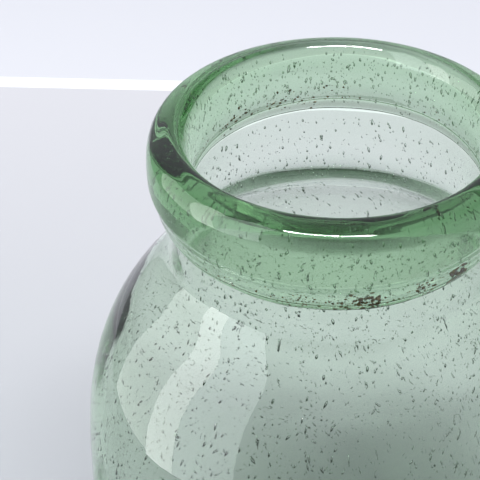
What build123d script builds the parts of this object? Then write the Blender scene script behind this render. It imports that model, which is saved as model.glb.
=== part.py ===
from build123d import *
import os

os.makedirs("parts", exist_ok=True)

# Open mouth-blown glass jar, one solid of revolution about +Z.
# Origin: centre of the foot plane. Lengths in mm.

height = 285               # foot to the top of the lip
belly_radius = 88          # widest point, low on the shoulder
belly_height = 161
base_radius = 82           # outside wall just above the heel
heel_height = 15.7
foot_outer = 65            # flat ring the jar stands on
foot_inner = 53
punt_height = 14           # hollow pushed up under the base

throat_radius = 50.5       # bore through the collar
throat_length = 15         # straight stretch of the bore
lip_width = 14.5           # across the rolled lip, bore to outside
lip_rise = 8               # middle of the roll to its top
lip_side_angle = -33       # round the roll, where it runs into the waist
waist_depth = 2            # shallow waist between lip and band
waist_drop = 16            # below the top of the lip
band_bulge = 0.7
collar_height = 31         # top of the lip to the fold's lower edge
fold_thickness = 2         # rounded lower edge of the fold
crevice_gap = 1.5          # narrow gap left between fold and neck
crevice_depth = 4.5

neck_thickness = 4.5       # bore to the outside of the neck, at the collar
neck_wall = 3.5            # at the foot of the neck
neck_drop = 48             # below the top of the lip, where the neck meets its curve
shoulder_reach = 5         # out from the neck, where that curve meets the shoulder
shoulder_drop = 60         # below the top of the lip
shoulder_wall_across = 2.8  # wall at the shoulder's top, along the radius
shoulder_wall_down = 2.8    # and along the axis
root_drop = 1.7            # inner curve ends this far below the outer one
body_wall = 4
heel_wall = 5
base_thickness = 8         # floor over the middle of the punt
floor_lift = 9.5           # floor over the foot ring
floor_inset = 6            # flat of the floor, in from the foot ring's outside

mouth_radius = throat_radius + lip_width
lip_radius = lip_width / 2
lip_centre = throat_radius + lip_radius
lip_centre_height = height - lip_rise
collar_bottom = height - collar_height
neck_radius = throat_radius + neck_thickness
fold_inner = neck_radius + crevice_gap
fold_radius = fold_inner + fold_thickness
shoulder_radius = neck_radius + shoulder_reach
shoulder_height = height - shoulder_drop
neck_bottom_height = height - neck_drop

with BuildPart() as jar:
    with BuildSketch(Plane.XZ):
        with BuildLine():
            # outside, from the foot up to the collar
            punt = TangentArc((0, punt_height), (foot_inner, 0), tangent=(1, 0))
            foot = Line(punt @ 1, (foot_outer, 0))
            belly = (belly_radius, belly_height)
            wall = TangentArc(belly, (base_radius, heel_height), tangent=(0, -1))
            TangentArc(wall @ 1, foot @ 1, tangent=wall % 1)
            shoulder = TangentArc(belly, (shoulder_radius, shoulder_height), tangent=(0, 1))
            root = TangentArc(shoulder @ 1, (neck_radius, neck_bottom_height), tangent=shoulder % 1)
            neck = Line(root @ 1, (neck_radius, collar_bottom + crevice_depth))
            # collar: crevice, rounded fold, sloping band, shallow waist, rolled lip
            crevice = Line(neck @ 1, (fold_inner, collar_bottom + fold_thickness / 2))
            fold_edge = (fold_radius - fold_thickness / 2, collar_bottom)
            fold = ThreePointArc(crevice @ 1, fold_edge, (fold_radius, collar_bottom + fold_thickness / 2))
            band_top = (mouth_radius - waist_depth, height - waist_drop)
            band_middle = (fold @ 1 + Vector(*band_top)) / 2 + Vector(band_bulge, 0)
            band = ThreePointArc(fold @ 1, band_middle, band_top)
            lip = EllipticalCenterArc(
                (lip_centre, lip_centre_height),
                lip_radius,
                lip_rise,
                start_angle=lip_side_angle,
                arc_size=180 - lip_side_angle,
            )
            waist = TangentArc(band @ 1, lip @ 0, tangent=band % 1)
            # inside, from the lip down to the floor
            throat = Line(lip @ 1, (throat_radius, lip_centre_height - throat_length))
            belly_inside = (belly_radius - body_wall, belly_height)
            shoulder_top_inside = (shoulder_radius - shoulder_wall_across, shoulder_height - shoulder_wall_down)
            inner_shoulder = TangentArc(belly_inside, shoulder_top_inside, tangent=(0, 1))
            inner_neck = (neck_radius - neck_wall, neck_bottom_height - root_drop)
            inner_root = TangentArc(inner_shoulder @ 1, inner_neck, tangent=inner_shoulder % 1)
            Spline(throat @ 1, inner_root @ 1, tangents=((0, -1), (0, -1)))
            heel_inside = (base_radius - heel_wall, heel_height + floor_lift)
            inner_wall = TangentArc(belly_inside, heel_inside, tangent=(0, -1))
            inner_heel = TangentArc(inner_wall @ 1, (foot_outer - floor_inset, floor_lift), tangent=inner_wall % 1)
            floor = TangentArc((0, punt_height + base_thickness), inner_heel @ 1, tangent=(1, 0))
            Line(floor @ 0, punt @ 0)
        make_face()
    revolve(axis=Axis.Z)
jar.part.label = "jar"
export_step(jar.part, "parts/jar.step")
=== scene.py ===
import math
import random

import bpy
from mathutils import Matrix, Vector, noise


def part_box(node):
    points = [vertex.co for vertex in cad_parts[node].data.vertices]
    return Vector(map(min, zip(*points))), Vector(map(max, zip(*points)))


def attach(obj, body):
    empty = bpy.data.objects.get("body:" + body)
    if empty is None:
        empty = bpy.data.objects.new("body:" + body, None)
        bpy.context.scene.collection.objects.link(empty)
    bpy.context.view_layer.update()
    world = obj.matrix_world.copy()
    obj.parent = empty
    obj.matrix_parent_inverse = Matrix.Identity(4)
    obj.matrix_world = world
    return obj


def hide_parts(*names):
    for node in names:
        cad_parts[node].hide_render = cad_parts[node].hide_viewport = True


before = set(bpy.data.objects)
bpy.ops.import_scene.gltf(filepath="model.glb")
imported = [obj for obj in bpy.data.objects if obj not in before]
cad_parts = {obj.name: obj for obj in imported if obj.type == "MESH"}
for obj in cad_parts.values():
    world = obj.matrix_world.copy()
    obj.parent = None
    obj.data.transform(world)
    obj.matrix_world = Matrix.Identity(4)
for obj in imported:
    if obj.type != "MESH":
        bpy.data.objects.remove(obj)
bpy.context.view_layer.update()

MM = 0.001

# The jar's own box gives its height; the rest of the outline is set from it in millimetres.
low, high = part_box("jar")
HEIGHT = (high[2] - low[2]) / MM
BELLY = (high[0] - low[0]) / 2 / MM
COLLAR = HEIGHT - 31          # lower edge of the folded collar
LIP = 65                      # outside of the rolled lip
THROAT = 50.5                 # inside of the collar
NECK = 55                     # outside of the neck
AROUND = 64                   # divisions round the jar before smoothing

# Rings that the glass passes through, (radius, height) in mm, from the pushed-up base
# outwards, up the outside, over the lip and down the inside to the floor.
PUNT = [(8, 14), (20, 12.8), (34, 9), (45, 4.2), (51, 1.2), (54, 0)]
FOOT = [(59, -0.1), (65, 0)]
HEEL = [(73.5, 2.2), (80, 8), (82.4, 17)]
OUTSIDE = [(BELLY - 4.2, 45), (BELLY - 2.4, 80), (BELLY - 0.9, 115), (BELLY, 145), (BELLY, 163)]
SHOULDER = [(86.6, 178), (83, 192.5), (77.4, 205.5), (70.2, 216), (62.9, 223.4), (58.3, 229)]
NECK_OUTSIDE = [(55.9, 235), (NECK + 0.3, 243), (NECK - 0.9, COLLAR + 1), (NECK, COLLAR + 4.2)]
FOLD = [
    (55.3, COLLAR + 4),
    (56.7, COLLAR + 3.9),
    (56.8, COLLAR + 0.8),
    (57, COLLAR - 0.6),
    (57.9, COLLAR + 0.1),
    (59.5, COLLAR + 2.3),
]
BAND = [
    (62.4, COLLAR + 6.9),
    (62.7, COLLAR + 11),
    (LIP - 0.2, HEIGHT - 16.3),
    (LIP - 0.1, HEIGHT - 14.2),
]
ROLL = [
    (LIP + 0.1, HEIGHT - 10.9),
    (LIP - 0.2, HEIGHT - 6),
    (63.2, HEIGHT - 2),
    (60.9, HEIGHT - 0.4),
    (56.1, HEIGHT + 1.5),
    (53.9, HEIGHT + 0.1),
    (51.4, HEIGHT - 4.1),
    (50.8, HEIGHT - 9.5),
]
NECK_INSIDE = [
    (THROAT - 0.2, HEIGHT - 15),
    (THROAT - 0.2, 262),
    (THROAT - 0.2, 254),
    (51, 246),
    (52.2, 239),
]
SHOULDER_INSIDE = [
    (52.8, 230.5),
    (58.3, 222.6),
    (68.1, 214),
    (73.8, 203.3),
    (79, 190.8),
    (82.5, 176.5),
]
INSIDE = [
    (BELLY - 4, 162),
    (BELLY - 4, 145),
    (BELLY - 4.9, 115),
    (BELLY - 6.4, 80),
    (BELLY - 8.2, 45),
]
FLOOR = [(78, 27), (74, 15.5), (67, 10.4), (59, 9.8), (49, 13), (34, 17.8), (20, 21.2), (8, 22)]
OUTER_RINGS = HEEL + OUTSIDE + SHOULDER + NECK_OUTSIDE + FOLD + BAND + ROLL
INNER_RINGS = NECK_INSIDE + SHOULDER_INSIDE + INSIDE + FLOOR


def linear(hex_colour):
    """sRGB hex to the linear values that a shader works in."""
    parts = [int(hex_colour[i : i + 2], 16) / 255 for i in (1, 3, 5)]
    return [c / 12.92 if c <= 0.04045 else ((c + 0.055) / 1.055) ** 2.4 for c in parts] + [1.0]


def material(name):
    """An empty node material."""
    m = bpy.data.materials.new(name)
    m.use_nodes = True
    m.node_tree.nodes.clear()
    return m


def add(tree, kind, settings=(), **sockets):
    """Adds a node, sets its attributes, then fills its sockets, by name, with values or links."""
    n = tree.nodes.new(kind)
    for key, value in dict(settings).items():
        setattr(n, key, value)
    for key, value in sockets.items():
        socket = n.inputs[key.replace("_", " ")]
        if isinstance(value, bpy.types.NodeSocket):
            tree.links.new(value, socket)
        else:
            socket.default_value = value
    return n


def select_none():
    if bpy.context.object and bpy.context.object.mode != "OBJECT":
        bpy.ops.object.mode_set(mode="OBJECT")
    bpy.ops.object.select_all(action="DESELECT")


def name_piece(name):
    """Names the object just made, and its mesh."""
    piece = bpy.context.object
    piece.name = name
    piece.data.name = name
    return piece


def settle(piece):
    """Moves the piece's place, turn and size into its mesh."""
    select_none()
    piece.select_set(True)
    bpy.context.view_layer.objects.active = piece
    bpy.ops.object.transform_apply(location=True, rotation=True, scale=True)


# ---- the jar ----


def hand_drift(p, inside):
    """How far hand work has moved the glass at p, in mm: a lip and fold that aren't quite level,
    an outside that isn't quite round, and a wall that varies in thickness."""
    x, y, z = p
    radius = max(math.hypot(x, y), 1e-6)
    around = Vector((x / radius, y / radius, 0))
    drift = Vector((0, 0, 0))
    top = min(max((z - (COLLAR - 6)) / 8, 0), 1)
    rim = min(max((z - (HEIGHT - 16)) / 10, 0), 1)
    fold = top * (1 - rim) * (0 if inside else 1)
    drift.z += fold * (3.7 * y + 1.6 * x) / 58
    drift.z += fold * 0.5 * noise.noise(around * 2.3 + Vector((0, 0, 4)))
    drift.z += rim * (-1.2 * y + 0.2 * x) / 58 - 0.8 * rim
    full = min(radius / 40, 1)
    slow = noise.noise(Vector((x, y, z * 0.6)) / 60 + Vector((3, 1, 0)))
    drift += around * 0.7 * slow * full
    if inside:
        streak = noise.noise(Vector((x / 26, y / 26, z / 60)) + Vector((9, 5, 2)))
        ripple = noise.noise(Vector((x / 9, y / 9, z / 22)) + Vector((1, 7, 3)))
        drift += around * (0.5 * streak + 0.07 * ripple) * full
    return drift


def blow_jar():
    """One surface, drawn ring by ring from a circle under the base right round to the floor."""
    select_none()
    start_radius, start_height = PUNT[0]
    bpy.ops.mesh.primitive_circle_add(
        vertices=AROUND, radius=start_radius, fill_type="NGON", location=(0, 0, start_height)
    )
    jar = name_piece("jar_glass")
    settle(jar)
    bpy.ops.object.mode_set(mode="EDIT")
    bpy.ops.mesh.select_all(action="SELECT")
    bpy.ops.mesh.poke()
    bpy.ops.mesh.select_all(action="DESELECT")
    bpy.ops.object.mode_set(mode="OBJECT")
    for v in jar.data.vertices:
        v.select = math.hypot(v.co.x, v.co.y) > start_radius * 0.9
    for e in jar.data.edges:
        e.select = all(jar.data.vertices[i].select for i in e.vertices)
    bpy.ops.object.mode_set(mode="EDIT")
    bpy.ops.mesh.select_mode(type="EDGE")
    radius, height = start_radius, start_height
    for r, z in PUNT[1:] + FOOT + OUTER_RINGS + INNER_RINGS:
        bpy.ops.mesh.extrude_edges_move(TRANSFORM_OT_translate={"value": (0, 0, z - height)})
        bpy.ops.transform.resize(value=(r / radius, r / radius, 1), center_override=(0, 0, 0))
        radius, height = r, z
    bpy.ops.mesh.edge_face_add()
    bpy.ops.mesh.poke()
    bpy.ops.mesh.select_all(action="SELECT")
    bpy.ops.mesh.remove_doubles(threshold=1e-4)
    bpy.ops.mesh.normals_make_consistent(inside=False)
    bpy.ops.object.mode_set(mode="OBJECT")
    smooth = jar.modifiers.new("smooth", "SUBSURF")
    smooth.levels = smooth.render_levels = 2
    bpy.ops.object.modifier_apply(modifier="smooth")
    return jar


def outline_radius(rings, z):
    """Radius in mm where a run of rings crosses height z."""
    for (r0, z0), (r1, z1) in zip(rings, rings[1:]):
        if min(z0, z1) <= z <= max(z0, z1) and z0 != z1:
            return r0 + (r1 - r0) * (z - z0) / (z1 - z0)
    return None


INSIDE_RUN = [(THROAT, HEIGHT - 8)] + NECK_INSIDE + SHOULDER_INSIDE + INSIDE + FLOOR[:2]


FLOOR_TOP = 27                # below this height the inside is the floor and the heel
PUNT_EDGE = 56                # radius where the pushed-up base meets the foot ring


def is_inside(p):
    """True for a point on the inner surface: throat, inner wall and floor."""
    radius = math.hypot(p.x, p.y)
    if p.z >= FLOOR_TOP:
        inner = outline_radius(INSIDE_RUN, p.z)
        return inner is not None and radius < inner + 1.2
    if radius > PUNT_EDGE:
        outer = outline_radius(FOOT[1:] + HEEL + OUTSIDE, max(p.z, 0)) or 60
        return p.z > 9 and radius < outer - 2.5
    middle_of_base = 8 + 12.6 * (1 - (radius / PUNT_EDGE) ** 2)
    return p.z > middle_of_base


def work_by_hand(jar):
    """Moves every point of the glass by its share of hand drift."""
    for v in jar.data.vertices:
        v.co += hand_drift(v.co, is_inside(v.co))


def to_metres(piece):
    """Scales a mesh drawn in millimetres."""
    for v in piece.data.vertices:
        v.co *= MM


# ---- what is in and on the glass ----


def wall_point(z, azimuth, depth):
    """A point in the glass in mm, depth 0 on the inner surface to 1 on the outer one."""
    outer = outline_radius(OUTER_RINGS[: len(HEEL + OUTSIDE + SHOULDER + NECK_OUTSIDE) - 1], z)
    if z > COLLAR + 1:
        outer = outline_radius([FOLD[-1]] + BAND + ROLL[:4], z)
    inner = outline_radius(INSIDE_RUN, z)
    if outer is None or inner is None:
        return None
    r = inner + (outer - inner) * depth
    p = Vector((r * math.cos(azimuth), r * math.sin(azimuth), z))
    return p + hand_drift(p, True) * (1 - depth) + hand_drift(p, False) * depth


def seed_shape():
    """One trapped bubble, round, which the copies stretch."""
    select_none()
    bpy.ops.mesh.primitive_ico_sphere_add(subdivisions=1, radius=1)
    shape = bpy.context.object
    points = [v.co.copy() for v in shape.data.vertices]
    faces = [tuple(f.vertices) for f in shape.data.polygons]
    bpy.data.objects.remove(shape)
    return points, faces


def new_mesh(name, points, faces):
    """An object made of many small shapes, given by their corners in metres."""
    data = bpy.data.meshes.new(name)
    data.from_pydata(points, [], faces)
    piece = bpy.data.objects.new(name, data)
    bpy.context.scene.collection.objects.link(piece)
    data.shade_smooth()
    return piece


SEED_SHAPE = seed_shape()


def scatter(name, count, chance, size):
    """Bubbles through a stretch of the wall.

    chance gives a height and a depth in the wall, size a width, a length and a lean."""
    points, faces = SEED_SHAPE
    all_points, all_faces = [], []
    rng = random.Random(name)
    while count > 0:
        z, depth = chance(rng)
        azimuth = rng.uniform(0, 2 * math.pi)
        centre = wall_point(z, azimuth, depth)
        if centre is None:
            continue
        count -= 1
        width, length, lean = size(rng)
        out = Vector((math.cos(azimuth), math.sin(azimuth), 0))
        side = Vector((-math.sin(azimuth), math.cos(azimuth), 0))
        up = side * math.sin(lean) + Vector((0, 0, 1)) * math.cos(lean)
        across = out.cross(up)
        first = len(all_points)
        for q in points:
            p = centre + across * (q.x * width) + up * (q.z * length) + out * (q.y * width * 0.8)
            all_points.append(p * MM)
        all_faces += [tuple(first + i for i in f) for f in faces]
    return new_mesh(name, all_points, all_faces)


def small_and_rare_large(rng, least, most):
    return least + (most - least) * rng.random() ** 4


def body_seeds():
    def chance(rng):
        return rng.uniform(30, 222), rng.uniform(0.25, 0.75)

    def size(rng):
        width = small_and_rare_large(rng, 0.15, 0.52)
        return width, width * rng.uniform(1.0, 4.8), math.radians(rng.gauss(24, 12))

    return scatter("body_seeds", 8600, chance, size)


def neck_seeds():
    def chance(rng):
        return rng.uniform(222, COLLAR), rng.uniform(0.3, 0.7)

    def size(rng):
        width = small_and_rare_large(rng, 0.15, 0.55)
        return width, width * rng.uniform(1.0, 3.0), math.radians(rng.gauss(8, 14))

    return scatter("neck_seeds", 1500, chance, size)


def collar_seeds():
    def chance(rng):
        return rng.uniform(COLLAR + 5, HEIGHT - 4), rng.uniform(0.12, 0.9)

    def size(rng):
        width = small_and_rare_large(rng, 0.13, 0.55)
        return width, width * rng.uniform(1.0, 2.6), math.radians(rng.gauss(0, 25))

    return scatter("collar_seeds", 2200, chance, size)


# Where grit has gathered under the folded collar:
# (degrees round from +X, spread in degrees, how many crumbs, largest in mm).
GRIT = [
    (-80, 4.5, 240, 0.8),
    (-99, 7, 170, 0.4),
    (-62, 4, 110, 0.6),
    (-46, 1.4, 50, 1.5),
    (-128, 9, 120, 0.4),
    (-20, 14, 100, 0.5),
    (95, 7, 60, 0.5),
    (112, 6, 80, 0.6),
    (134, 8, 90, 0.7),
    (160, 12, 70, 0.5),
    (40, 16, 60, 0.5),
    (10, 20, 70, 0.4),
]


def grit_clump(rng, centre, size):
    """Corners of one crumb: an uneven lump pressed flat between neck and fold."""
    points, faces = SEED_SHAPE
    out = Vector((centre.x, centre.y, 0)).normalized()
    side = Vector((out.y, -out.x, 0))
    crumb = []
    for q in points:
        uneven = size * rng.uniform(0.55, 1.25)
        crumb.append(centre + (side * q.x * 1.3 + Vector((0, 0, q.z)) + out * q.y * 0.4) * uneven)
    return crumb, faces


def crevice_grit():
    """Earth and ash caught where the collar was folded down over the neck."""
    rng = random.Random("grit")
    all_points, all_faces = [], []
    for angle, spread, count, largest in GRIT:
        for _ in range(count):
            azimuth = math.radians(rng.gauss(angle, spread))
            z = COLLAR + rng.triangular(0.5, 10.0, 5.0)
            r = 55.6 + 0.09 * (z - COLLAR) + rng.uniform(-0.1, 0.3)
            p = Vector((r * math.cos(azimuth), r * math.sin(azimuth), z))
            p += hand_drift(p, False)
            crumb, faces = grit_clump(rng, p, small_and_rare_large(rng, 0.1, largest))
            first = len(all_points)
            all_points += [q * MM for q in crumb]
            all_faces += [tuple(first + i for i in f) for f in faces]
    return new_mesh("crevice_grit", all_points, all_faces)


FOLD_EDGE = 57.2              # radius of the fold's lowest edge
# height of the dark line under the fold, part grime and part painted shade
GRIME_AND_SHADE_HEIGHT = COLLAR - 0.35


def fold_grime_and_shade():
    """A thin dark line under the fold's lower edge, part grime and part painted shade of the
    crevice, finer round the back.
    """
    select_none()
    bpy.ops.mesh.primitive_torus_add(
        major_radius=FOLD_EDGE,
        minor_radius=0.4,
        major_segments=192,
        minor_segments=8,
        location=(0, 0, GRIME_AND_SHADE_HEIGHT),
    )
    grime_and_shade = name_piece("fold_grime_and_shade")
    settle(grime_and_shade)
    for v in grime_and_shade.data.vertices:
        middle = Vector((v.co.x, v.co.y, 0)).normalized() * FOLD_EDGE + Vector((0, 0, GRIME_AND_SHADE_HEIGHT))
        # painted shade: the line is drawn thickest at the front, towards the camera, and finer
        # round the back
        front = 0.5 - 0.5 * middle.y / FOLD_EDGE
        wander = noise.noise(middle / 7)
        v.co = middle + (v.co - middle) * (0.3 + 0.7 * front) * (1 + 0.5 * wander)
        v.co += hand_drift(middle, False)
    return grime_and_shade


# ---- materials ----


def bottle_glass():
    """Recycled bottle glass, mouth-blown: clear where thin, deep green where seen edge on."""
    m = material("recycled_bottle_glass")
    t = m.node_tree
    where = add(t, "ShaderNodeTexCoord").outputs["Object"]
    stretch = add(t, "ShaderNodeMapping", Vector=where, Scale=(1, 1, 0.35))
    ripple = {"Scale": 1 / (9 * MM), "Detail": 3.0, "Distortion": 1.2}
    cords = add(t, "ShaderNodeTexNoise", Vector=stretch.outputs[0], **ripple)
    bump = add(t, "ShaderNodeBump", Height=cords.outputs["Fac"], Strength=0.05, Distance=0.4 * MM)
    glass = add(t, "ShaderNodeBsdfPrincipled", Normal=bump.outputs[0])
    glass.inputs["Base Color"].default_value = (1, 1, 1, 1)
    glass.inputs["Roughness"].default_value = 0.0
    glass.inputs["IOR"].default_value = 1.5
    glass.inputs["Transmission Weight"].default_value = 1.0
    tint = add(t, "ShaderNodeVolumeAbsorption")
    tint.inputs["Color"].default_value = linear("#B7DEB5")
    tint.inputs["Density"].default_value = 80.0
    add(t, "ShaderNodeOutputMaterial", Surface=glass.outputs[0], Volume=tint.outputs[0])
    return m


def trapped_air():
    """Air caught in the melt: seen from the glass around it, it bends light the other way."""
    m = material("trapped_air")
    t = m.node_tree
    air = add(t, "ShaderNodeBsdfPrincipled")
    air.inputs["Base Color"].default_value = (1, 1, 1, 1)
    air.inputs["Roughness"].default_value = 0.0
    air.inputs["IOR"].default_value = 1 / 1.5
    air.inputs["Transmission Weight"].default_value = 1.0
    add(t, "ShaderNodeOutputMaterial", Surface=air.outputs[0])
    return m


def baked_earth():
    """Clay and ash baked on: dull, brown, paler where it is thin and dusty."""
    m = material("baked_earth")
    t = m.node_tree
    where = add(t, "ShaderNodeTexCoord").outputs["Object"]
    patches = add(t, "ShaderNodeTexNoise", Vector=where, Scale=1 / (1.5 * MM), Detail=3.0)
    shade = add(t, "ShaderNodeValToRGB", Fac=patches.outputs["Fac"])
    shade.color_ramp.elements[0].color = linear("#3E2A1C")
    shade.color_ramp.elements[1].color = linear("#8A6A48")
    grain = add(t, "ShaderNodeTexNoise", Vector=where, Scale=1 / (0.2 * MM), Detail=2.0)
    bump = add(t, "ShaderNodeBump", Height=grain.outputs["Fac"], Strength=0.6, Distance=0.1 * MM)
    earth = add(t, "ShaderNodeBsdfPrincipled", Base_Color=shade.outputs["Color"])
    t.links.new(bump.outputs[0], earth.inputs["Normal"])
    earth.inputs["Roughness"].default_value = 0.9
    add(t, "ShaderNodeOutputMaterial", Surface=earth.outputs[0])
    return m


def black_grime_and_shade():
    """Old grime, black-green and faintly greasy, with painted shade: it paints the dark line of
    shade under the collar.
    """
    m = material("black_grime_and_shade")
    t = m.node_tree
    where = add(t, "ShaderNodeTexCoord").outputs["Object"]
    patches = add(t, "ShaderNodeTexNoise", Vector=where, Scale=1 / (4 * MM), Detail=2.0)
    shade = add(t, "ShaderNodeValToRGB", Fac=patches.outputs["Fac"])
    # black-green: partly grime, partly painted shade of the crevice under the fold
    shade.color_ramp.elements[0].color = linear("#0E140D")
    shade.color_ramp.elements[1].color = linear("#33402C")
    dark_line_shader = add(t, "ShaderNodeBsdfPrincipled", Base_Color=shade.outputs["Color"])
    dark_line_shader.inputs["Roughness"].default_value = 0.45
    add(t, "ShaderNodeOutputMaterial", Surface=dark_line_shader.outputs[0])
    return m


def paper(name, near, far, painted_glow=0.0):
    """Matt paper, a little cool, with painted light: paler towards the back, and given a strength
    it gives off painted light of its own.
    """
    m = material(name)
    t = m.node_tree
    where = add(t, "ShaderNodeTexCoord").outputs["Object"]
    axes = add(t, "ShaderNodeSeparateXYZ", Vector=where)
    depth = add(t, "ShaderNodeMapRange", Value=axes.outputs["Y"])
    depth.inputs["From Min"].default_value = 0.1
    depth.inputs["From Max"].default_value = TABLE_BACK
    # painted light: the colour runs from the darker near shade by the jar to the paler far shade at
    # the back
    shade = add(t, "ShaderNodeValToRGB", Fac=depth.outputs["Result"])
    shade.color_ramp.elements[0].color = linear(near)
    shade.color_ramp.elements[1].color = linear(far)
    matt = add(t, "ShaderNodeBsdfDiffuse", Color=shade.outputs["Color"])
    # painted light: an emission that makes the paper give off light though it is no lamp
    painted_light_emission = add(t, "ShaderNodeEmission", Color=linear("#F4F6FF"), Strength=painted_glow)
    both = add(t, "ShaderNodeAddShader")
    t.links.new(matt.outputs[0], both.inputs[0])
    t.links.new(painted_light_emission.outputs[0], both.inputs[1])
    add(t, "ShaderNodeOutputMaterial", Surface=both.outputs[0])
    return m


# ---- stage, light, camera ----

TABLE_BACK = 0.461            # where the table ends behind the jar, metres
TABLE_FRONT = -0.75
STAGE_WIDTH = 1.1
SILL_DEPTH = 0.010
BACKDROP_DEPTH = 0.5


def sheet(name, front, back, near, far, painted_glow=0.0):
    """A flat sheet of paper across the stage, with its colour near the jar and further back; a
    paler far colour is painted light.
    """
    select_none()
    bpy.ops.mesh.primitive_plane_add(size=1, location=(0, (front + back) / 2, 0))
    piece = name_piece(name)
    piece.scale = (STAGE_WIDTH, back - front, 1)
    settle(piece)
    piece.data.materials.append(paper(name + "_paper", near, far, painted_glow))


def make_stage():
    """A pale table painted paler towards the back, a strip along its back edge painted brighter and
    giving off painted light, and more pale paper beyond it that gives off a faint painted light.
    """
    sill_back = TABLE_BACK + SILL_DEPTH
    # painted light: the table is painted darker near the jar and paler at the back
    sheet("table", TABLE_FRONT, TABLE_BACK, "#96989B", "#B5B4B8")
    # painted highlight: the strip at the table's back edge is painted paler and gives off painted
    # light
    sheet("sill", TABLE_BACK, sill_back, "#CCCCCF", "#CCCCCF", 0.1)
    # painted light: the backdrop gives off a faint light of its own
    sheet("backdrop", sill_back, sill_back + BACKDROP_DEPTH, "#BABABF", "#BABABF", 0.025)


# Brightness of the room round the jar, from straight below and in front (0)
# to above and behind (1).
ROOM_SHADES = [
    (0.08, 0.1),
    (0.3, 0.4),
    (0.52, 0.3),
    (0.65, 0.15),
    (0.81, 0.25),
    (0.9, 0.36),
    (1.0, 0.42),
]


def make_light():
    """A soft room: dim all round, with slow changes of brightness for the glass to mirror."""
    world = bpy.data.worlds.new("soft_room")
    bpy.context.scene.world = world
    world.use_nodes = True
    t = world.node_tree
    t.nodes.clear()
    where = add(t, "ShaderNodeTexCoord").outputs["Generated"]
    towards = add(t, "ShaderNodeVectorMath", {"operation": "DOT_PRODUCT"})
    t.links.new(where, towards.inputs[0])
    towards.inputs[1].default_value = (-0.1, 0.78, 0.62)
    half = add(t, "ShaderNodeMapRange", Value=towards.outputs["Value"])
    half.inputs["From Min"].default_value = -1.0
    ramp = add(t, "ShaderNodeValToRGB", Fac=half.outputs["Result"])
    for place, value in ROOM_SHADES[1:-1]:
        ramp.color_ramp.elements.new(place)
    for element, (place, value) in zip(ramp.color_ramp.elements, ROOM_SHADES):
        element.position = place
        element.color = (value * 0.95, value, value * 1.05, 1)
    sky = add(t, "ShaderNodeBackground", Color=ramp.outputs["Color"], Strength=2.12)
    add(t, "ShaderNodeOutputWorld", Surface=sky.outputs[0])


def soft_box(name, size, place, aim, power, colour="#FFFFFF"):
    """A studio light that lights the scene and shows in the glass, but not through it."""
    data = bpy.data.lights.new(name, "AREA")
    data.shape = "RECTANGLE"
    data.size, data.size_y = size
    data.energy = power
    data.color = linear(colour)[:3]
    lamp = bpy.data.objects.new(name, data)
    lamp.location = place
    lamp.rotation_mode = "QUATERNION"
    lamp.rotation_quaternion = (Vector(aim) - Vector(place)).to_track_quat("-Z", "Y")
    lamp.visible_transmission = False
    bpy.context.scene.collection.objects.link(lamp)
    return lamp


def make_camera():
    """Stands well back and looks down at the mouth, about a third of the way to straight down."""
    mouth = Vector((0, 0, HEIGHT * MM))
    distance, elevation = 0.945, math.radians(33.46)
    tilt, turn = math.radians(35.82), math.radians(2.42)
    data = bpy.data.cameras.new("camera")
    data.sensor_width = 36
    data.lens = 210.225
    data.clip_start, data.clip_end = 0.01, 20
    camera = bpy.data.objects.new("camera", data)
    camera.location = mouth + Vector((0, -math.cos(elevation), math.sin(elevation))) * distance
    camera.rotation_euler = (math.pi / 2 - tilt, 0, turn)
    bpy.context.scene.collection.objects.link(camera)
    bpy.context.scene.camera = camera


def set_look():
    """Plain colour handling, and enough bounces for light to cross both walls."""
    scene = bpy.context.scene
    scene.view_settings.view_transform = "Standard"
    scene.cycles.max_bounces = 32
    scene.cycles.transmission_bounces = 32
    scene.cycles.glossy_bounces = 12
    scene.cycles.transparent_max_bounces = 32
    scene.cycles.caustics_refractive = True
    scene.cycles.caustics_reflective = False


def build():
    jar = blow_jar()
    work_by_hand(jar)
    to_metres(jar)
    jar.data.shade_smooth()
    jar.data.materials.append(bottle_glass())
    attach(jar, "root")
    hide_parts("jar")
    air = trapped_air()
    for seeds in (body_seeds(), neck_seeds(), collar_seeds()):
        seeds.data.materials.append(air)
        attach(seeds, "root")
    grit = crevice_grit()
    grit.data.materials.append(baked_earth())
    # the dark ring under the fold: part grime, part painted shade of the crevice
    grime_and_shade = fold_grime_and_shade()
    to_metres(grime_and_shade)
    grime_and_shade.data.shade_smooth()
    grime_and_shade.data.materials.append(black_grime_and_shade())
    for dirt_and_shade in (grit, grime_and_shade):
        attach(dirt_and_shade, "root")
    make_stage()
    make_light()
    soft_box("window", (0.97, 2.9), (-1.3, -0.96, 1.15), (0, -0.96, 1.15), 23, "#F4F8FF")
    soft_box("curtain", (0.38, 1.6), (-1.3, -0.28, 0.5), (0, -0.28, 0.5), 9)
    soft_box("wall", (0.7, 1.3), (-1.3, 0.26, 0.4), (0, 0.26, 0.4), 5)
    soft_box("key", (1.3, 0.2), (-0.1, -0.95, 1.9), (0, 0.05, 0.1), 70, "#FBFCFF")
    make_camera()
    set_look()


build()
